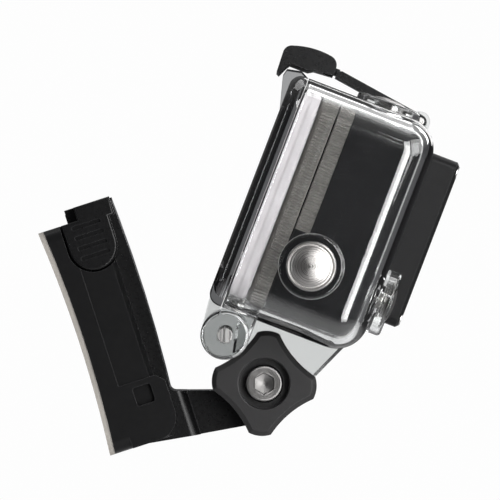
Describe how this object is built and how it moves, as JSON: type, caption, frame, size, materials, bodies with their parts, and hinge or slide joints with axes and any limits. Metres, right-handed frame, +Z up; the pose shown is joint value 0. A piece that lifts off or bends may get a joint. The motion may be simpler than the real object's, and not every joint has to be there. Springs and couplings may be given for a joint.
{
  "type": "action camera",
  "caption": "Small action camera in a clear waterproof housing with a latched back door, on a tilting J-shaped quick-release buckle that slides into a curved adhesive base.",
  "frame": {"origin": "middle of the adhesive pad's curved rear face, where the object meets what carries it", "axes": "+Z up as worn, +X level and forward, away from the wearer, +Y to the camera's left; the base faces 18 degrees above +X, and at rest the camera looks 21 degrees below +X"},
  "size_m": [0.0806, 0.0698, 0.0782],
  "materials": {
    "foam_tape": "closed-cell foam, matte",
    "base_plastic": "fine moulded texture",
    "buckle_plastic": "satin black",
    "knob_plastic": "semi-matte moulded",
    "steel": "turned and brushed",
    "clear_plastic": "clear polycarbonate, polished",
    "bezel_plastic": "matte black",
    "latch_plastic": "satin black",
    "silicone": "white silicone, soft sheen",
    "black_rubber": "matte",
    "clear_glass": "polished, coated",
    "camera_black": "fine matte grain",
    "camera_silver": "satin silver paint over plastic",
    "button_silver": "satin",
    "lens_black": "anodised black",
    "circuit_green": "solder mask",
    "chip_black": "moulded package",
    "heat_aluminium": "plain",
    "port_metal": "plated",
    "battery_wrap": "film wrap",
    "display_black": "glossy",
    "light_red": "translucent"
  },
  "bodies": {
    "mount": {"adhesive_pad": "foam_tape", "mount_base": "base_plastic"},
    "buckle": {"hook_arm": "buckle_plastic", "clevis_nut": "steel"},
    "left_tab": {"release_tab_left": "buckle_plastic"},
    "right_tab": {"release_tab_right": "buckle_plastic"},
    "thumbscrew": {"thumb_knob": "knob_plastic", "thumb_bolt": "steel"},
    "housing": {"housing_shell": "clear_plastic", "lens_bezel": "bezel_plastic", "lens_window": "clear_glass", "lens_window_seal": "black_rubber", "lens_bezel_screws": "steel", "door_hinge_pins": "steel", "latch_arm_pin": "steel", "camera_front_shell": "camera_black", "camera_band": "camera_silver", "camera_rear_shell": "camera_silver", "case_screws": "steel", "side_port_door": "camera_black", "battery_door": "camera_black", "status_window": "clear_glass", "status_display": "display_black", "status_lights": "light_red", "lens_ring": "camera_silver", "lens_barrel": "lens_black", "lens_front_element": "clear_glass", "lens_inner_elements": "clear_glass", "lens_holder": "chip_black", "image_sensor": "chip_black", "main_board": "circuit_green", "processor": "chip_black", "heat_spreader": "heat_aluminium", "wireless_board": "circuit_green", "side_ports": "port_metal", "card_socket": "port_metal", "memory_card": "chip_black", "battery": "battery_wrap", "speaker": "chip_black", "microphone": "port_metal", "side_plunger_spring": "steel", "shutter_plunger_spring": "steel", "mode_plunger_spring": "steel"},
    "door": {"back_door": "clear_plastic", "door_seal": "silicone"},
    "latch": {"latch_arm": "latch_plastic"},
    "latch_hook": {"latch_hook": "latch_plastic", "latch_hook_pin": "steel"},
    "side_plunger": {"side_plunger": "steel", "side_plunger_seal": "black_rubber", "side_plunger_clip": "steel"},
    "camera_side_button": {"camera_side_button": "button_silver"},
    "shutter_plunger": {"shutter_plunger": "steel", "shutter_plunger_seal": "black_rubber", "shutter_plunger_clip": "steel"},
    "camera_shutter_button": {"camera_shutter_button": "button_silver"},
    "mode_plunger": {"mode_plunger": "steel", "mode_plunger_seal": "black_rubber", "mode_plunger_clip": "steel"},
    "camera_mode_button": {"camera_mode_button": "button_silver"}
  },
  "joints": [
    {"name": "buckle_slide", "type": "slide", "parent": "mount", "child": "buckle", "axis": [-0.309, 0, 0.9511], "range_m": [0, 0.045]},
    {"name": "left_tab_squeeze", "type": "hinge", "parent": "buckle", "child": "left_tab", "pos_m": [0.00851, 0.0122, -0.00354], "axis": [0.9511, 0, 0.309], "range_deg": [0, 4], "stiffness_Nm_per_rad": 2},
    {"name": "right_tab_squeeze", "type": "hinge", "parent": "buckle", "child": "right_tab", "pos_m": [0.00851, -0.0122, -0.00354], "axis": [-0.9511, 0, -0.309], "range_deg": [0, 4], "stiffness_Nm_per_rad": 2},
    {"name": "camera_tilt", "type": "hinge", "parent": "buckle", "child": "housing", "pos_m": [0.03511, 0, -0.00773], "axis": [0, 1, 0], "range_deg": [-35, 75]},
    {"name": "thumbscrew_turn", "type": "hinge", "parent": "buckle", "child": "thumbscrew", "pos_m": [0.03511, 0, -0.00773], "axis": [0, 1, 0], "continuous": true},
    {"name": "latch_lift", "type": "hinge", "parent": "housing", "child": "latch", "pos_m": [0.06488, 0, 0.04222], "axis": [0, 1, 0], "range_deg": [0, 120]},
    {"name": "hook_turn", "type": "hinge", "parent": "latch", "child": "latch_hook", "pos_m": [0.04714, 0, 0.0532], "axis": [0, 1, 0], "range_deg": [0, 36]},
    {"name": "door_open", "type": "hinge", "parent": "housing", "child": "door", "pos_m": [0.02764, 0, 0.00156], "axis": [0, -1, 0], "range_deg": [0, 45.6]},
    {"name": "side_press", "type": "slide", "parent": "housing", "child": "side_plunger", "axis": [0, 1, 0], "range_m": [0, 0.0012], "stiffness_N_per_m": 900, "springref_m": -0.0006, "deforming": ["side_plunger_spring"]},
    {"name": "camera_side_press", "type": "slide", "parent": "housing", "child": "camera_side_button", "axis": [0, 1, 0], "range_m": [0, 0.0003]},
    {"name": "shutter_press", "type": "slide", "parent": "housing", "child": "shutter_plunger", "axis": [-0.3584, 0, -0.9336], "range_m": [0, 0.001], "stiffness_N_per_m": 900, "springref_m": -0.0006, "deforming": ["shutter_plunger_spring"]},
    {"name": "camera_shutter_press", "type": "slide", "parent": "housing", "child": "camera_shutter_button", "axis": [-0.3584, 0, -0.9336], "range_m": [0, 0.0003]},
    {"name": "mode_press", "type": "slide", "parent": "housing", "child": "mode_plunger", "axis": [-0.9336, 0, 0.3584], "range_m": [0, 0.0012], "stiffness_N_per_m": 900, "springref_m": -0.0006, "deforming": ["mode_plunger_spring"]},
    {"name": "camera_mode_press", "type": "slide", "parent": "housing", "child": "camera_mode_button", "axis": [-0.9336, 0, 0.3584], "range_m": [0, 0.0003]}
  ],
  "couplings": [
    {"joint": "hook_turn", "follows": "latch_lift", "ratio": 0.3},
    {"joint": "door_open", "follows": "latch_lift", "ratio": 0.38},
    {"joint": "camera_side_press", "follows": "side_press", "ratio": 0.25},
    {"joint": "camera_shutter_press", "follows": "shutter_press", "ratio": 0.3},
    {"joint": "camera_mode_press", "follows": "mode_press", "ratio": 0.25}
  ]
}
